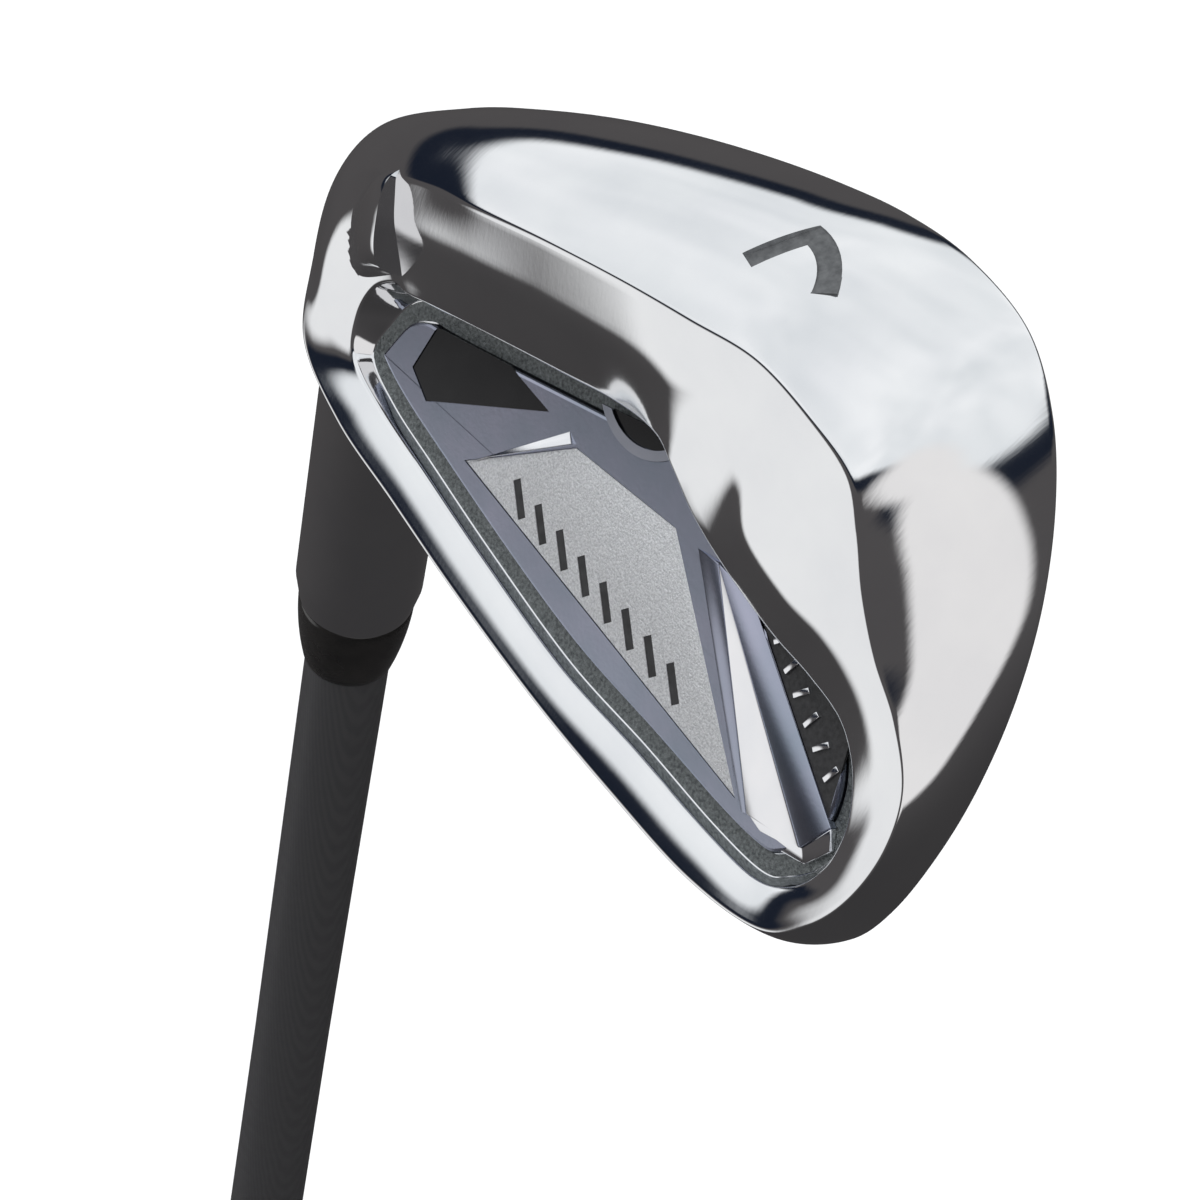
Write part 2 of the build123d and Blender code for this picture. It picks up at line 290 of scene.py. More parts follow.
def chrome_material():
    """Polished chrome: fine handling scratches and smudges."""
    material, tree, shader, vector = new_material("chrome_plate")
    shader.inputs["Metallic"].default_value = 1.0
    smudge = noise(tree, vector, 90.0, 5.0)
    tree.links.new(
        ramp(tree, smudge, [(0.35, (0.80, 0.81, 0.83)), (0.7, (0.86, 0.87, 0.88))]),
        shader.inputs["Base Color"],
    )
    scratches = noise(tree, stretched(tree, vector, (3000.0, 260.0, 900.0), (0.4, 0.5, 0.9)), 1.0, 2.0)
    tree.links.new(
        ramp(tree, smudge, [(0.3, (0.045,) * 3), (0.75, (0.085,) * 3)]),
        shader.inputs["Roughness"],
    )
    bump(tree, shader, scratches, 0.02, 0.0001)
    return material


def blasted_material():
    """The grit-blasted part of the hitting face."""
    material, tree, shader, vector = new_material("blasted_face")
    shader.inputs["Metallic"].default_value = 1.0
    grit = noise(tree, vector, 5200.0, 2.0)
    tree.links.new(
        ramp(tree, grit, [(0.3, (0.46, 0.47, 0.48)), (0.7, (0.62, 0.63, 0.64))]), shader.inputs["Base Color"]
    )
    tree.links.new(ramp(tree, grit, [(0.3, (0.34,) * 3), (0.7, (0.46,) * 3)]), shader.inputs["Roughness"])
    bump(tree, shader, grit, 0.35, 0.0001)
    return material


chrome = chrome_material()
blasted = blasted_material()
badge_chrome = finish_material(
    "badge_plating",
    [(0.33, 0.37, 0.45), (0.40, 0.41, 0.51)],
    (0.18, 0.26), 1.0, 160.0, (2500.0, 0.03, 0.0001),
)
# Brighter copy of the badge plating: on the ridge, tip and heel-edge facets it is painted highlight where
# those facets catch the light; on the toe-strip bars it is their own bright chrome.
badge_highlight_and_letter_chrome = finish_material(
    "badge_painted_highlight_and_letter_chrome",
    [(0.82, 0.83, 0.86), (0.88, 0.88, 0.9)],
    (0.08, 0.14), 1.0, 200.0, (2200.0, 0.02, 0.0001),
)
panel_silver = finish_material(
    "bead_blasted_silver",
    [(0.60, 0.61, 0.63), (0.92, 0.93, 0.95)],
    (0.36, 0.48), 0.85, 5200.0, (5200.0, 0.5, 0.00025),
)
bar_black = finish_material(
    "bar_paint", [(0.012, 0.012, 0.013), (0.03, 0.03, 0.032)], (0.35, 0.5), 0.0, 900.0
)
gloss_black = finish_material(
    "gloss_black", [(0.002, 0.002, 0.003), (0.005, 0.005, 0.006)], (0.05, 0.12), 0.0, 300.0
)
satin_black = finish_material(
    "satin_black",
    [(0.010, 0.010, 0.011), (0.026, 0.026, 0.028)],
    (0.38, 0.5), 0.0, 2400.0, (3200.0, 0.2, 0.0001),
)
emblem_bright = finish_material(
    "emblem_metal", [(0.42, 0.45, 0.52), (0.5, 0.52, 0.6)], (0.14, 0.22), 1.0, 260.0
)
ferrule_black = finish_material(
    "ferrule_black", [(0.006, 0.006, 0.006), (0.014, 0.013, 0.012)], (0.18, 0.3), 0.0, 260.0, coat=0.3
)
number_grey = finish_material(
    "number_enamel",
    [(0.055, 0.058, 0.062), (0.11, 0.115, 0.12)],
    (0.4, 0.6), 0.0, 1500.0, (1800.0, 0.25, 0.0001),
)
ledge_grain = finish_material(
    "cast_ledge", [(0.10, 0.11, 0.112), (0.27, 0.29, 0.292)], (0.4, 0.55), 0.9, 3600.0, (3800.0, 0.6, 0.00025)
)
foam = finish_material("foam_tape", [(0.02, 0.02, 0.02), (0.05, 0.05, 0.05)], (0.8, 0.95), 0.0, 2500.0)
epoxy = finish_material("cured_epoxy", [(0.6, 0.5, 0.28), (0.72, 0.63, 0.38)], (0.2, 0.4), 0.0, 300.0)
brass = finish_material("turned_brass", [(0.62, 0.45, 0.18), (0.75, 0.58, 0.26)], (0.25, 0.4), 1.0, 500.0)
paper = finish_material("tape_paper", [(0.72, 0.69, 0.58), (0.82, 0.8, 0.7)], (0.75, 0.9), 0.0, 900.0)


def graphite_material():
    """Dark lacquer over fine slanted carbon plies, with a faint fleck."""
    material, tree, shader, vector = new_material("graphite_lacquer")
    plies = tree.nodes.new("ShaderNodeTexWave")
    plies.inputs["Scale"].default_value = 900.0
    plies.inputs["Distortion"].default_value = 1.5
    plies.inputs["Detail"].default_value = 2.0
    tree.links.new(stretched(tree, vector, (1.0, 1.0, 0.25), (0.0, 0.4, 0.3)), plies.inputs["Vector"])
    tree.links.new(
        ramp(tree, plies.outputs["Fac"], [(0.2, (0.040, 0.040, 0.043)), (0.8, (0.047, 0.047, 0.050))]),
        shader.inputs["Base Color"],
    )
    tree.links.new(
        ramp(tree, noise(tree, vector, 500.0), [(0.3, (0.34,) * 3), (0.7, (0.44,) * 3)]),
        shader.inputs["Roughness"],
    )
    shader.inputs["Coat Weight"].default_value = 0.35
    shader.inputs["Coat Roughness"].default_value = 0.22
    bump(tree, shader, plies.outputs["Fac"], 0.05, 0.0001)
    return material


def rubber_material(name, tone):
    material, tree, shader, vector = new_material(name)
    dust = noise(tree, vector, 700.0, 6.0)
    tree.links.new(
        ramp(tree, dust, [(0.3, (tone * 0.6,) * 3), (0.62, (tone,) * 3), (0.8, (tone * 1.7,) * 3)]),
        shader.inputs["Base Color"],
    )
    tree.links.new(ramp(tree, dust, [(0.3, (0.62,) * 3), (0.7, (0.8,) * 3)]), shader.inputs["Roughness"])
    bump(tree, shader, noise(tree, vector, 4200.0, 2.0), 0.25, 0.0002)
    return material


graphite = graphite_material()
grip_rubber = rubber_material("grip_rubber", 0.022)
cap_rubber = rubber_material("cap_rubber", 0.03)

# ---------------------------------------------------------------- head
# Stations round the head, from the heel along the sole to the toe and back along the
# topline: outline of the face, how far the outside bulges beyond a straight line, then
# the ridge or outer rim, the crease, the lip of the cavity and the foot of its wall.
STATIONS = [
    ((-2.0, 5.8), 2.2, (3.0, 9.6, 8.8), (3.2, 12.8, 8.6), (7.6, 18.3, 7.3), (9.4, 19.2)),
    ((9.0, 2.4), 2.6, (9.0, 9.2, 11.0), (7.6, 12.8, 9.9), (9.8, 18.8, 7.5), (11.4, 19.5)),
    ((16.0, 1.1), 2.8, (15.5, 9.0, 12.3), (12.8, 13.2, 10.9), (13.4, 19.1, 7.5), (14.8, 19.9)),
    ((23.0, 0.2), 2.9, (23.0, 9.5, 13.7), (20.7, 14.1, 11.5), (20.8, 19.8, 7.5), (21.8, 20.6)),
    ((32.0, -0.2), 2.9, (32.0, 10.2, 14.4), (29.6, 15.1, 11.7), (29.6, 20.7, 7.5), (30.6, 21.4)),
    ((41.0, -0.1), 2.9, (41.0, 11.3, 14.4), (38.2, 16.3, 11.8), (37.2, 21.5, 7.6), (38.4, 22.2)),
    ((49.0, 0.4), 2.8, (49.3, 12.6, 14.2), (46.6, 17.3, 12.5), (43.6, 22.5, 9.3), (44.0, 23.4)),
    ((56.0, 1.3), 2.6, (56.5, 14.0, 13.7), (53.0, 18.2, 12.0), (46.6, 24.6, 9.6), (46.8, 25.7)),
    ((63.0, 3.2), 2.3, (62.6, 17.2, 12.8), (54.6, 22.6, 10.8), (48.6, 27.8, 8.2), (49.2, 29.0)),
    ((70.0, 7.0), 2.0, (66.3, 20.2, 11.8), (56.0, 27.2, 10.2), (52.6, 31.2, 7.3), (53.8, 32.2)),
    ((74.2, 12.5), 1.7, (67.6, 24.0, 10.8), (60.6, 30.5, 9.6), (58.2, 34.5, 6.9), (59.4, 35.5)),
    ((76.6, 19.0), 1.4, (68.6, 28.2, 9.9), (65.3, 32.7, 8.9), (62.4, 36.6, 6.4), (63.6, 37.9)),
    ((77.7, 26.5), 1.1, (70.2, 32.8, 8.7), (68.2, 35.5, 7.8), (65.8, 38.9, 5.8), (66.6, 40.3)),
    ((77.4, 34.0), 0.8, (72.4, 37.0, 7.4), (70.3, 39.0, 6.7), (67.4, 41.8, 5.1), (67.8, 43.2)),
    ((76.0, 41.0), 0.5, (73.8, 42.0, 6.2), (71.4, 42.9, 5.7), (68.0, 45.1, 4.6), (67.9, 46.1)),
    ((73.9, 47.0), 0.4, (73.0, 47.0, 5.5), (71.0, 46.8, 5.3), (67.8, 48.1, 4.4), (67.1, 48.9)),
    ((71.0, 52.6), 0.4, (70.6, 51.6, 5.2), (69.2, 50.4, 5.0), (66.7, 50.8, 4.4), (65.4, 51.2)),
    ((67.6, 56.2), 0.4, (67.2, 55.0, 5.1), (66.3, 53.2, 5.0), (64.2, 53.1, 4.5), (62.7, 52.7)),
    ((62.5, 57.9), 0.4, (62.6, 57.0, 5.3), (62.0, 55.4, 5.0), (60.3, 53.7, 4.5), (59.9, 53.3)),
    ((54.0, 56.4), 0.4, (54.3, 55.8, 5.3), (54.4, 53.9, 5.0), (54.0, 51.8, 4.5), (53.9, 51.5)),
    ((44.0, 52.8), 0.4, (44.3, 52.2, 5.3), (44.6, 50.2, 5.0), (44.8, 48.2, 4.5), (44.9, 47.9)),
    ((33.0, 48.3), 0.4, (33.4, 47.7, 5.3), (33.8, 45.9, 5.0), (34.4, 44.3, 4.5), (34.5, 44.0)),
    ((21.0, 42.5), 0.4, (21.5, 42.0, 5.3), (22.0, 40.2, 5.0), (22.7, 38.4, 4.5), (22.8, 38.1)),
    ((10.0, 37.0), 0.4, (11.0, 36.5, 5.3), (12.0, 34.8, 5.0), (13.1, 33.2, 4.5), (13.3, 32.9)),
    ((0.0, 32.0), 0.4, (2.0, 31.7, 5.3), (4.0, 30.6, 5.0), (6.2, 29.4, 4.5), (6.6, 29.1)),
    ((-6.0, 26.0), 0.6, (-4.6, 25.8, 5.4), (-2.0, 26.0, 5.2), (1.8, 26.0, 4.7), (2.6, 25.6)),
    ((-8.0, 18.0), 1.0, (-5.4, 18.6, 5.4), (-3.4, 19.8, 6.2), (2.0, 22.2, 5.6), (4.2, 22.2)),
    ((-6.5, 11.0), 1.6, (-2.6, 13.0, 7.0), (-1.6, 15.4, 7.4), (4.4, 19.4, 6.6), (6.4, 19.9)),
]
AROUND = 448
BLOCK_END = 9.5      # where the heel block ends, along the toe direction
FACE_EDGE = 0.9      # how far inside the outline the flat face starts
CORNER_RADII = {"outline": 0.8, "ridge": 0.4, "crease": 1.3, "lip": 0.3, "foot": 0.15}


def cavity_foot():
    """Foot of the cavity wall as (a, b) places."""
    return closed_spline([s[5] for s in STATIONS], AROUND)


def build_blade():
    outline = closed_spline([s[0] for s in STATIONS], AROUND)
    bulge = closed_spline([(s[1], 0.0) for s in STATIONS], AROUND)[:, :1]
    ridge, crease, lip = (closed_spline([s[k] for s in STATIONS], AROUND) for k in (2, 3, 4))
    foot = cavity_foot()

    def at(loop, depth):
        return np.column_stack([loop, np.full(len(loop), depth)])

    face_edge = at(inset(outline, FACE_EDGE), 0.0)
    outer = at(outline, 0.0)
    chord = ridge - outer
    along = np.roll(outer, -1, 0) - np.roll(outer, 1, 0)
    outward = np.cross(along, chord)
    outward /= np.linalg.norm(outward, axis=1)[:, None]
    # outside surface: an arc from the outline to the ridge, as a few runs for the rounding
    arc = [outer]
    arc_steps = 26
    for s in range(1, arc_steps):
        f = s / arc_steps
        arc.append(outer + chord * f + outward * bulge * 4 * f * (1 - f))
    arc.append(ridge)
    corners = [face_edge, *arc, crease, lip, at(foot, LEDGE_DEPTH), at(inset(foot, POCKET_GAP), LEDGE_DEPTH)]
    count = len(corners)
    radii = [0.0] * count
    radii[1] = CORNER_RADII["outline"]
    ridge_at = 1 + arc_steps
    radii[ridge_at] = CORNER_RADII["ridge"]
    radii[ridge_at + 1] = CORNER_RADII["crease"]
    radii[ridge_at + 2] = CORNER_RADII["lip"]
    radii[ridge_at + 3] = CORNER_RADII["foot"]
    for k in range(2, ridge_at):
        radii[k] = 10.0
    steps = [2] + [1] * arc_steps + [8, 8, 8, 4]
    rings = []
    last = corners[0]
    for k in range(1, count):
        here = corners[k]
        if k == count - 1:
            for s in range(steps[k - 1] + 1):
                rings.append(last + (here - last) * s / steps[k - 1])
            break
        before, after = here - corners[k - 1], corners[k + 1] - here
        if radii[k] > 5:
            rings.append(last)
            last = here
            continue
        length_before = np.linalg.norm(before, axis=1)[:, None]
        length_after = np.linalg.norm(after, axis=1)[:, None]
        start = here - before * np.minimum(radii[k] / length_before, 0.45)
        end = here + after * np.minimum(radii[k] / length_after, 0.45)
        for s in range(steps[k - 1]):
            rings.append(last + (start - last) * s / steps[k - 1])
        for s in range(6):
            f = s / 6
            rings.append(start * (1 - f) ** 2 + here * 2 * f * (1 - f) + end * f**2)
        last = end
    rings.append(at(inset(foot, POCKET_GAP), POCKET_DEPTH))
    verts, faces = skin([on_head(ring) for ring in rings])
    return verts, faces


def build_hosel():
    """Heel block and hosel as one tube, from inside the blade to the bore."""
    count = 128
    angles = np.arange(count) * 2 * math.pi / count
    corners = [(5.2, 1.0), (7.2, 6.0), (9.0, 11.6), (13.2, 12.3)]
    corners += [(16.9, 10.9), (17.4, 6.0), (17.3, 1.6), (11.0, 0.9)]
    # rounded outline of the block where it leaves the blade, sampled round its middle
    loop = closed_spline(corners, count)
    centre = np.array([12.0, 6.0])
    turn = np.mod(np.arctan2(loop[:, 1] - centre[1], loop[:, 0] - centre[0]), 2 * math.pi)
    order = np.argsort(turn)
    reach = np.hypot(loop[:, 0] - centre[0], loop[:, 1] - centre[1])
    sampled = np.interp(angles, turn[order], reach[order], period=2 * math.pi)
    up_face = centre[0] + sampled * np.cos(angles)
    behind_face = centre[1] + sampled * np.sin(angles)
    block = np.column_stack([np.full(count, BLOCK_END), up_face, behind_face])
    block = on_head(block) / MM
    up_shaft = np.array([0.0, 0.0, -1.0])
    # the same two directions, turned with the tube from along the blade to along the shaft
    first = np.array([math.cos(LOFT), -math.sin(LOFT), 0.0])
    second = np.array([-math.sin(LOFT), -math.cos(LOFT), 0.0])

    def circle(radius, height):
        middle = GROUND + up_shaft * height
        return middle + radius * (np.cos(angles)[:, None] * first + np.sin(angles)[:, None] * second)

    join = 38.0
    end = circle(HOSEL_RADIUS, join)
    rings = []
    leave, arrive = -TOE * 14.0, up_shaft * 26.0
    for s in range(40):
        t = s / 40
        rings.append(
            block * (2 * t**3 - 3 * t**2 + 1)
            + leave * (t**3 - 2 * t**2 + t)
            + end * (-2 * t**3 + 3 * t**2)
            + arrive * (t**3 - t**2)
        )
    for height in np.linspace(join, HOSEL_TOP - HOSEL_END_TAPER, 14):
        rings.append(circle(HOSEL_RADIUS, height))
    rings.append(circle(HOSEL_END_RADIUS, HOSEL_TOP))
    rings.append(circle(BORE_RADIUS, HOSEL_TOP))
    rings.append(circle(BORE_RADIUS, BORE_BOTTOM))
    return skin([ring * MM for ring in rings])


def mesh_object(name, verts, faces):
    mesh = bpy.data.meshes.new(name)
    mesh.from_pydata([tuple(v) for v in verts], [], [tuple(f) for f in faces])
    mesh.update()
    fix_normals(mesh)
    obj = bpy.data.objects.new(name, mesh)
    bpy.context.scene.collection.objects.link(obj)
    return obj


def slot_outline(start, end, up, half_width, steps=8):
    """Round-ended groove along the toe direction."""
    points = []
    for k in range(steps + 1):
        t = -math.pi / 2 + math.pi * k / steps
        points.append((end - half_width + half_width * math.cos(t), up + half_width * math.sin(t)))
    for k in range(steps + 1):
        t = math.pi / 2 + math.pi * k / steps
        points.append((start + half_width + half_width * math.cos(t), up + half_width * math.sin(t)))
    return points


SOLE_ORIGIN = GROUND + TOE * 55.5 + BACK * 10.8 + SKY * 1.75
SOLE_NORMAL = TOE * 0.14 + BACK * 0.22 - SKY * 0.96
SOLE_NORMAL = SOLE_NORMAL / np.linalg.norm(SOLE_NORMAL)
SOLE_X = TOE - SOLE_NORMAL * TOE.dot(SOLE_NORMAL)
SOLE_X = SOLE_X / np.linalg.norm(SOLE_X)
SOLE_Y = np.cross(SOLE_NORMAL, SOLE_X)


def on_sole(points):
    p = np.asarray(points, float)
    return (SOLE_ORIGIN + p[:, :1] * SOLE_X + p[:, 1:2] * SOLE_Y + p[:, 2:3] * SOLE_NORMAL) * MM


def arc_through(p, q, r, steps=10):
    """Points on the circle through p, q and r, from p to r."""
    (ax, ay), (bx, by), (cx, cy) = p, q, r
    d = 2 * (ax * (by - cy) + bx * (cy - ay) + cx * (ay - by))
    ux = ((ax**2 + ay**2) * (by - cy) + (bx**2 + by**2) * (cy - ay) + (cx**2 + cy**2) * (ay - by)) / d
    uy = ((ax**2 + ay**2) * (cx - bx) + (bx**2 + by**2) * (ax - cx) + (cx**2 + cy**2) * (bx - ax)) / d
    radius = math.hypot(ax - ux, ay - uy)
    start, end = math.atan2(ay - uy, ax - ux), math.atan2(cy - uy, cx - ux)
    middle = math.atan2(by - uy, bx - ux)
    turn = (end - start) % (2 * math.pi)
    if (middle - start) % (2 * math.pi) > turn:
        turn -= 2 * math.pi
    return [
        (ux + radius * math.cos(start + turn * k / steps), uy + radius * math.sin(start + turn * k / steps))
        for k in range(steps + 1)
    ]


def number_outline():
    outer = arc_through((-2.0, 3.1), (2.1, 0.8), (3.9, -2.0))
    inner = arc_through((2.1, -2.9), (1.0, -0.8), (-1.2, 0.7))
    return [(-3.7, -3.1), (-5.3, -2.3), *outer, *inner]


GROOVES = 13
FIRST_GROOVE = 5.0       # height of the lowest score line up the face
GROOVE_PITCH = 3.6
GROOVE_HALF_WIDTH = 0.45
GROOVE_DEPTH = 0.5
GROOVE_TOE_END = 62.0
OUTSIDE = -2.0           # where a cutter starts, in front of the face
ABOVE_SOLE = 3.0         # where the number's cutter ends, outside the sole
LEDGE_SLOT, BLASTED_SLOT = 1, 2
PAINT_THICKNESS = 0.22
NUMBER_DEPTH = 0.62
blade = mesh_object("head_chrome", *build_blade())
graph = bpy.context.evaluated_depsgraph_get()
start = Vector((SOLE_ORIGIN + SOLE_NORMAL * 20.0) * MM)
hit, spot, *_ = blade.ray_cast(start, Vector(-SOLE_NORMAL))
if hit:
    SOLE_ORIGIN = np.array(spot) / MM
hosel = mesh_object("hosel_part", *build_hosel())
boolean(blade, [hosel], "UNION")
FACE_ZONE = [(12.0, 2.6), (64.0, 2.6), (64.0, 54.5), (48.0, 50.6), (12.0, 34.2)]
ZONE_SINK = 0.03
cutters = [prism("face_zone", FACE_ZONE, on_head, OUTSIDE, ZONE_SINK)]
cutters += [prism("number_cut", number_outline(), on_sole, -NUMBER_DEPTH, ABOVE_SOLE)]
for row in range(GROOVES):
    up = FIRST_GROOVE + row * GROOVE_PITCH
    heel_end = 14.0 + max(0.0, up - 33.0) * 2.1
    groove = slot_outline(heel_end, GROOVE_TOE_END, up, GROOVE_HALF_WIDTH)
    cutters.append(prism("groove", groove, on_head, OUTSIDE, GROOVE_DEPTH))
boolean(blade, cutters, "DIFFERENCE")
finish_object(blade, chrome, 32.0)
blade.data.materials.append(ledge_grain)   # LEDGE_SLOT
blade.data.materials.append(blasted)       # BLASTED_SLOT
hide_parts("head")

paint_outline = inset_polygon(np.array(number_outline()), 0.03)
number = prism("number_fill", paint_outline, on_sole, -NUMBER_DEPTH - 0.02, -NUMBER_DEPTH + PAINT_THICKNESS)
finish_object(number, number_grey, 50.0)
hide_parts("number_paint")

# ---------------------------------------------------------------- badge
foot_loop = cavity_foot()


def finish_flat_areas():
    """Grain on the cast ledge round the badge, and blasting on the middle of the hitting face."""
    for poly in blade.data.polygons:
        centre = np.array(poly.center) / MM - LEAD
        depth = centre.dot(INTO)
        flat = abs(np.array(poly.normal).dot(INTO)) > 0.97
        if flat and abs(depth - LEDGE_DEPTH) < 0.03:
            poly.material_index = LEDGE_SLOT
        if flat and abs(depth - ZONE_SINK) < 0.01:
            poly.material_index = BLASTED_SLOT


finish_flat_areas()


def plate(name, outline, low, high, material, edge=0.12):
    """Flat piece with a small rounded edge all round, on the plane of the badge."""
    loop = np.asarray(outline, float)
    area = np.sum(loop[:, 0] * np.roll(loop[:, 1], -1) - np.roll(loop[:, 0], -1) * loop[:, 1])
    if area < 0:
        loop = loop[::-1]
    rings = []
    for amount, depth in ((0.0, low), (0.0, high - edge), (edge * 0.3, high - edge * 0.3), (edge, high)):
        moved = inset_polygon(loop, amount)
        rings.append(on_head(np.column_stack([moved, np.full(len(moved), depth)])))
    verts, faces = skin(rings)
    obj = mesh_object(name, verts, faces)
    finish_object(obj, material, 50.0)
    return obj


PANEL = [(17.5, 31.2), (30.2, 26.8), (43.2, 30.1), (56.0, 48.6)]
WINDOW = [(10.6, 21.2), (8.6, 25.2), (11.2, 27.6), (26.3, 24.8), (20.4, 22.2)]
STRIP = [(53.0, 33.0), (65.6, 47.0), (65.9, 40.4), (59.4, 35.4)]
EMBLEM_CENTRE = (38.0, 18.8)
EMBLEM_RADIUS = 7.0
POCKET_FLOOR = 3.5
BAR_COUNT = 8
BAR_FLOOR = 3.73
ABOVE_BADGE = 8.0        # where the cutters of the badge end, clear of it
FRAME_EDGE = 0.3


def circle_outline(centre, radius, count=64):
    turns = [2 * math.pi * k / count for k in range(count)]
    return [(centre[0] + radius * math.cos(t), centre[1] + radius * math.sin(t)) for t in turns]


def bar_outline(centre, length, width, degrees):
    """Slanted rectangle round a centre."""
    c, s = math.cos(math.radians(degrees)), math.sin(math.radians(degrees))
    corners = [(-length, -width), (length, -width), (length, width), (-length, width)]
    return [(centre[0] + (x * c - y * s) / 2, centre[1] + (x * s + y * c) / 2) for x, y in corners]


def facets(name, points, faces, material):
    """Solid of flat facets standing on the badge: the facets above, closed down to the plate."""
    top = [np.array(p, float) for p in points]
    base = [np.array((p[0], p[1], 3.2)) for p in points]
    count = len(top)
    edges = {}
    for face in faces:
        for u, v in zip(face, (*face[1:], face[0])):
            edges[(u, v)] = edges.get((u, v), 0) + 1
    all_faces = list(faces) + [tuple(reversed([k + count for k in f])) for f in faces]
    for (u, v) in edges:
        if (v, u) not in edges:
            all_faces.append((v, u, u + count, v + count))
    obj = mesh_object(name, on_head(np.array(top + base)), all_faces)
    bevel = obj.modifiers.new("edge", "BEVEL")
    bevel.width = 0.12 * MM
    bevel.segments = 2
    bevel.limit_method = "ANGLE"
    bevel.angle_limit = math.radians(4.0)
    apply_modifiers(obj)
    finish_object(obj, material, 30.0)
    return obj


def apply_modifiers(obj):
    graph = bpy.context.evaluated_depsgraph_get()
    mesh = bpy.data.meshes.new_from_object(obj.evaluated_get(graph))
    obj.modifiers.clear()
    obj.data = mesh


badge_outline = inset(foot_loop, BADGE_GAP)[::2]
badge_frame = plate(
    "badge_frame_plate", badge_outline, PAD_TOP, BADGE_TOP, badge_chrome, FRAME_EDGE
)
pockets = [
    prism("pocket", outline, on_head, POCKET_FLOOR, ABOVE_BADGE)
    for outline in (PANEL, WINDOW, STRIP, circle_outline(EMBLEM_CENTRE, EMBLEM_RADIUS))
]
boolean(badge_frame, pockets, "DIFFERENCE")
finish_object(badge_frame, badge_chrome, 20.0)
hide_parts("badge_frame")

panel_outline = inset_polygon(np.array(PANEL), 0.05)
panel = plate(
    "badge_panel_plate", panel_outline, POCKET_FLOOR, PANEL_TOP, panel_silver, 0.08
)
bar_cuts = []
for k in range(BAR_COUNT):
    bar = bar_outline((25.0 + 3.1 * k, 32.6 + 1.35 * k), 3.4, 0.9, 62.0)
    bar_cuts.append(prism("bar", bar, on_head, BAR_FLOOR, ABOVE_BADGE))
boolean(panel, bar_cuts, "DIFFERENCE")
finish_object(panel, panel_silver, 30.0)
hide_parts("badge_panel")

# facets that fan out towards the toe, between the panel and the black strip
facets(
    "badge_fan",
    [(46.0, 30.9, 3.95), (48.9, 31.4, 4.3), (57.8, 49.3, 4.25), (56.8, 49.5, 3.95)],
    [(0, 1, 2, 3)],
    badge_chrome,
)
# The ridge, tip and heel-edge facets take the brighter plating as painted highlight.
facets(
    "badge_ridge",
    [(48.9, 31.4, 4.3), (64.1, 49.9, 4.6), (57.8, 49.3, 4.25)],
    [(0, 1, 2)],
    badge_highlight_and_letter_chrome,
)
facets(
    "badge_slope",
    [(48.9, 31.4, 4.3), (53.0, 33.2, 3.95), (66.2, 47.6, 3.95), (64.1, 49.9, 4.6)],
    [(0, 1, 2, 3)],
    badge_chrome,
)
facets(
    "badge_tip",
    [
        (57.8, 49.3, 4.0), (64.1, 49.9, 4.3), (66.2, 47.6, 3.95),
        (66.5, 49.4, 3.8), (64.3, 51.2, 3.75), (60.2, 50.9, 3.8),
    ],
    [(0, 1, 4, 5), (1, 2, 3, 4)],
    badge_highlight_and_letter_chrome,
)
facets(
    "badge_heel_edge",
    [(17.7, 31.4, 3.95), (29.1, 25.7, 3.95), (29.9, 26.6, 4.25), (20.4, 30.2, 4.15)],
    [(0, 1, 2, 3)],
    badge_highlight_and_letter_chrome,
)


def strip_marks():
    """Plain raised bars along the black strip, as one piece."""
    marks = []
    for k in range(6):
        f = k / 5
        centre = (56.9 + 8.0 * f, 35.3 + 8.4 * f)
        marks.append(plate(f"mark_{k}", bar_outline(centre, 1.7, 0.5, 150.0 - 20 * (k % 2)), 3.75, 4.02,
                           badge_highlight_and_letter_chrome, 0.06))
    with bpy.context.temp_override(active_object=marks[0], selected_editable_objects=marks):
        bpy.ops.object.join()
    marks[0].name = "toe_strip_bars"
    return marks[0]


strip_marks()

# ---------------------------------------------------------------- shaft, ferrule and grip
def shaft_radius(z):
    share = min(1.0, max(0.0, (PARALLEL_Z - z) / (PARALLEL_Z - CAP_THICKNESS)))
    return TIP_RADIUS + (BUTT_RADIUS - TIP_RADIUS) * share


shaft_profile = [(shaft_radius(z), z) for z in np.linspace(CAP_THICKNESS, TIP_Z, 60)]
shaft_profile += [(2.3, TIP_Z), (2.3, PARALLEL_Z), (6.6, CAP_THICKNESS)]
shaft = add_object("shaft_tube", *lathe(shaft_profile), "graphite", graphite)
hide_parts("shaft")

hosel_end_z = CLUB_LENGTH - HOSEL_TOP
ferrule_profile = [(TIP_RADIUS, hosel_end_z - 0.02), (HOSEL_END_RADIUS - 0.12, hosel_end_z - 0.02)]
for k in range(13):
    t = k / 12
    radius = HOSEL_END_RADIUS * (1 - t) + (TIP_RADIUS + 0.35) * t + 0.45 * 4 * t * (1 - t) * 0.6
    ferrule_profile.append((radius, hosel_end_z - 0.14 - (FERRULE_LENGTH - 0.3) * t))
ferrule_end_z = hosel_end_z - FERRULE_LENGTH
ferrule_profile += [(TIP_RADIUS + 0.2, ferrule_end_z), (TIP_RADIUS, ferrule_end_z)]
ferrule = add_object("ferrule_ring", *lathe(ferrule_profile), "ferrule_black", ferrule_black, 50.0)
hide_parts("ferrule")

# height above the butt and outside radius
GRIP_PROFILE = [
    (2.2, 13.4), (11.6, 13.05), (70.0, 11.8), (240.0, 9.2), (262.5, 8.3), (264.4, 8.05), (265.0, 7.75)
]
PATTERN_DEPTH = 0.32


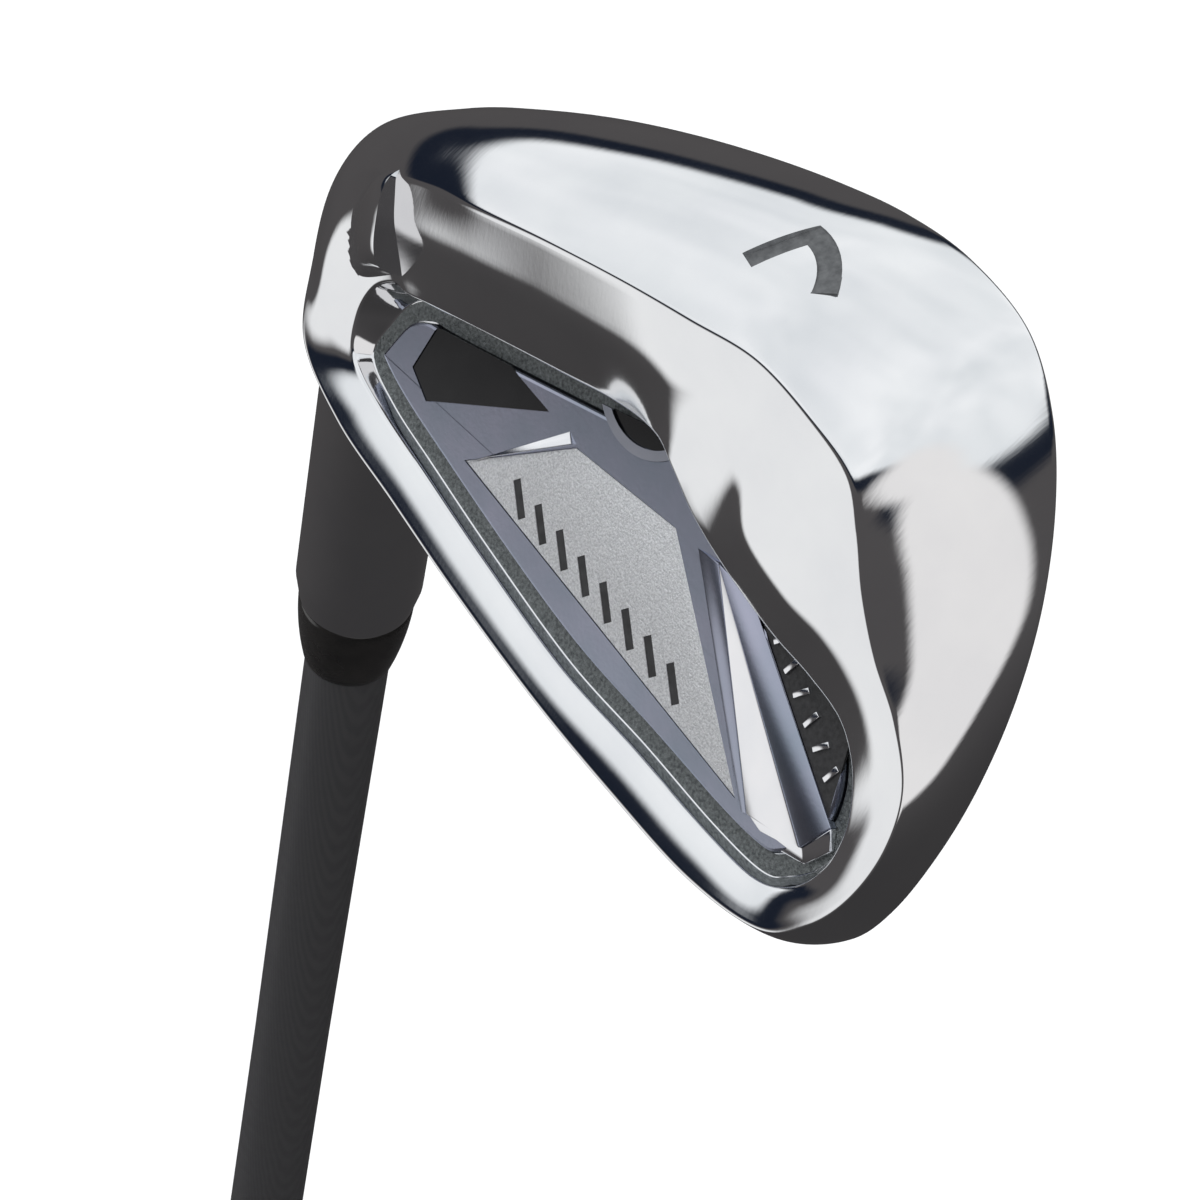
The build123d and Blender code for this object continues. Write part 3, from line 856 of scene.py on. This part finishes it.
def grip_pattern(theta, z):
    """Moulded tread: slanted lozenges with plain bands, 0 on the land and 1 in a groove."""
    pitch = 5.2
    around = 16
    left = np.abs(np.sin((around * theta / 2 + math.pi * z / pitch)))
    right = np.abs(np.sin((around * theta / 2 - math.pi * z / pitch)))
    groove = np.clip((0.30 - np.minimum(left, right)) / 0.22, 0, 1)
    groove = groove * groove * (3 - 2 * groove)
    band = np.ones_like(z)
    for middle, half in ((8.0, 7.0), (96.0, 6.0), (176.0, 5.0), (256.0, 12.0)):
        band *= np.clip((np.abs(z - middle) - half) / 1.2, 0, 1)
    rings = np.clip(1 - np.abs(((z - 96.0) % 3.0) - 1.5) / 0.35, 0, 1)
    near = ((np.abs(z - 96.0) < 4.6) | (np.abs(z - 176.0) < 4.0)).astype(float)
    return np.maximum(groove * band, rings * near)


def build_grip():
    around, along = 240, 760
    theta = np.arange(around) * 2 * math.pi / around
    z = np.concatenate([np.linspace(CAP_FLANGE, 264.2, along), [264.6, 265.0]])
    heights = [p[0] for p in GRIP_PROFILE]
    radius = np.interp(z, heights, [p[1] for p in GRIP_PROFILE])
    radius[0] -= 0.35
    tt, zz = np.meshgrid(theta, z)
    rr = radius[:, None] - PATTERN_DEPTH * grip_pattern(tt, zz)
    outer = np.stack([rr * np.cos(tt), rr * np.sin(tt), zz], -1)
    bore = []
    for height in (265.0, CAP_FLANGE):
        inner_radius = shaft_radius(max(height, CAP_THICKNESS)) + (0.25 if height < 200 else 0.0)
        level = np.full(around, height)
        bore.append(np.stack([inner_radius * np.cos(theta), inner_radius * np.sin(theta), level], -1))
    rings = list(outer) + bore
    verts = np.concatenate(rings) * MM
    faces = []
    rows = len(rings)
    for k in range(rows):
        low, high = k * around, ((k + 1) % rows) * around
        for j in range(around):
            i = (j + 1) % around
            faces.append((low + j, low + i, high + i, high + j))
    return verts, faces


grip = mesh_object("grip_sleeve", *build_grip())
finish_object(grip, grip_rubber, 60.0)
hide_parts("grip")

cap_profile = [(VENT_RADIUS, 0.25), (VENT_RADIUS + 0.25, 0.0), (4.4, 0.0), (4.6, 0.3), (5.0, 0.3), (5.2, 0.0)]
cap_profile += [(9.0, 0.0), (9.2, 0.25), (9.7, 0.25), (9.9, 0.0)]
cap_profile += [
    (GRIP_BUTT_RADIUS - 2.0 + 2.0 * math.sin(t), 1.5 - 1.5 * math.cos(t)) for t in np.linspace(0.1, 1.5, 8)
]
cap_profile += [(GRIP_BUTT_RADIUS - 0.15, CAP_FLANGE), (shaft_radius(CAP_THICKNESS) + 0.25, CAP_FLANGE)]
cap_profile += [(shaft_radius(CAP_THICKNESS) + 0.25, CAP_THICKNESS), (VENT_RADIUS, CAP_THICKNESS)]
cap = mesh_object("grip_cap_moulded", *lathe(cap_profile))
finish_object(cap, cap_rubber, 35.0)
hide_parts("grip_cap")

for node, material in (
    ("badge_tape", foam),
    ("panel_bars", bar_black),
    ("heel_window", gloss_black),
    ("toe_strip", satin_black),
    ("emblem_ring", emblem_bright),
    ("emblem_disc", gloss_black),
    ("hosel_epoxy", epoxy),
    ("tip_weight", brass),
    ("grip_tape", paper),
):
    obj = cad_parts[node]
    for place in obj.material_slots:
        place.material = material

# ---------------------------------------------------------------- stage
def build_stage():
    half = 4.0
    mesh = bpy.data.meshes.new("floor")
    level = -0.0005
    corners = [(-half, -half, level), (half, -half, level), (half, half, level), (-half, half, level)]
    mesh.from_pydata(corners, [], [(0, 1, 2, 3)])
    floor = bpy.data.objects.new("floor", mesh)
    bpy.context.scene.collection.objects.link(floor)
    material, tree, shader, vector = new_material("pale_floor")
    shader.inputs["Roughness"].default_value = 0.9
    tree.links.new(
        ramp(tree, noise(tree, vector, 3.0), [(0.3, (0.93, 0.93, 0.93)), (0.7, (0.95, 0.95, 0.95))]),
        shader.inputs["Base Color"],
    )
    mesh.materials.append(material)
    floor.visible_glossy = False


def build_world():
    """Plain soft studio light round a club held sole up: a white ceiling, dark walls, a dim
    floor and two round softboxes, one beyond the toe and one behind the heel."""
    world = bpy.data.worlds.new("studio")
    bpy.context.scene.world = world
    world.use_nodes = True
    tree = world.node_tree
    background = tree.nodes["Background"]
    coords = tree.nodes.new("ShaderNodeTexCoord")
    direction = coords.outputs["Generated"]

    def along(vector):
        node = tree.nodes.new("ShaderNodeVectorMath")
        node.operation = "DOT_PRODUCT"
        tree.links.new(direction, node.inputs[0])
        node.inputs[1].default_value = tuple(vector)
        return node.outputs["Value"]

    def step(value, low, high):
        node = tree.nodes.new("ShaderNodeMapRange")
        node.interpolation_type = "SMOOTHSTEP"
        node.inputs["From Min"].default_value = low
        node.inputs["From Max"].default_value = high
        tree.links.new(value, node.inputs["Value"])
        return node.outputs["Result"]

    def mix_colours(share, first, second):
        node = tree.nodes.new("ShaderNodeMix")
        node.data_type = "RGBA"
        tree.links.new(share, node.inputs[0])
        for socket, value in zip((node.inputs[6], node.inputs[7]), (first, second)):
            if isinstance(value, tuple):
                socket.default_value = (*value, 1.0)
            else:
                tree.links.new(value, socket)
        return node.outputs[2]

    def softbox(toward_toe, toward_back, upward, edge, core):
        """Share of a round soft light panel in a direction; edge and core are cosines."""
        axis = TOE * toward_toe + BACK * toward_back - SKY * upward
        return step(along(axis / np.linalg.norm(axis)), edge, core)

    height = along(-SKY)
    clouds = noise(tree, direction, 2.2, 2.0)
    ceiling = ramp(tree, clouds, [(0.3, (0.80, 0.83, 0.85)), (0.7, (1.02, 1.03, 1.04))])
    ground = mix_colours(step(height, -0.9, 0.1), (0.045, 0.043, 0.044), (0.085, 0.080, 0.081))
    walls = mix_colours(step(height, 0.30, 0.37), ground, (0.011, 0.015, 0.026))
    room = mix_colours(step(height, 0.44, 0.52), walls, ceiling)
    room = mix_colours(softbox(0.88, 0.46, 0.11, 0.86, 0.91), room, (0.90, 0.88, 0.87))
    room = mix_colours(softbox(-0.70, 0.70, -0.08, 0.92, 0.97), room, (0.92, 0.92, 0.92))
    path = tree.nodes.new("ShaderNodeLightPath")
    room = mix_colours(path.outputs["Is Camera Ray"], room, (0.95, 0.95, 0.95))
    tree.links.new(room, background.inputs["Color"])


def build_camera():
    camera_data = bpy.data.cameras.new("photo_view")
    camera = bpy.data.objects.new("photo_view", camera_data)
    bpy.context.scene.collection.objects.link(camera)
    right = Vector((0.68293, 0.71606, 0.14445))
    up = Vector((-0.62758, 0.47393, 0.61769))
    back = Vector((0.37384, -0.51249, 0.77304))
    eye = Vector((0.15714, -0.17352, 1.15446))
    turn = Matrix((right, up, back)).transposed().to_4x4()
    camera.matrix_world = Matrix.Translation(eye) @ turn
    camera_data.sensor_width = 36.0
    camera_data.lens = 107.94
    camera_data.clip_start = 0.02
    camera_data.clip_end = 20.0
    bpy.context.scene.camera = camera


def build_light():
    data = bpy.data.lights.new("overhead", "SUN")
    data.energy = 1.6
    data.angle = math.radians(40.0)
    lamp = bpy.data.objects.new("overhead", data)
    bpy.context.scene.collection.objects.link(lamp)
    lamp.rotation_euler = (math.radians(20), math.radians(-25), 0)
    lamp.visible_glossy = False


build_stage()
build_world()
build_light()
build_camera()
bpy.context.scene.view_settings.view_transform = "Standard"
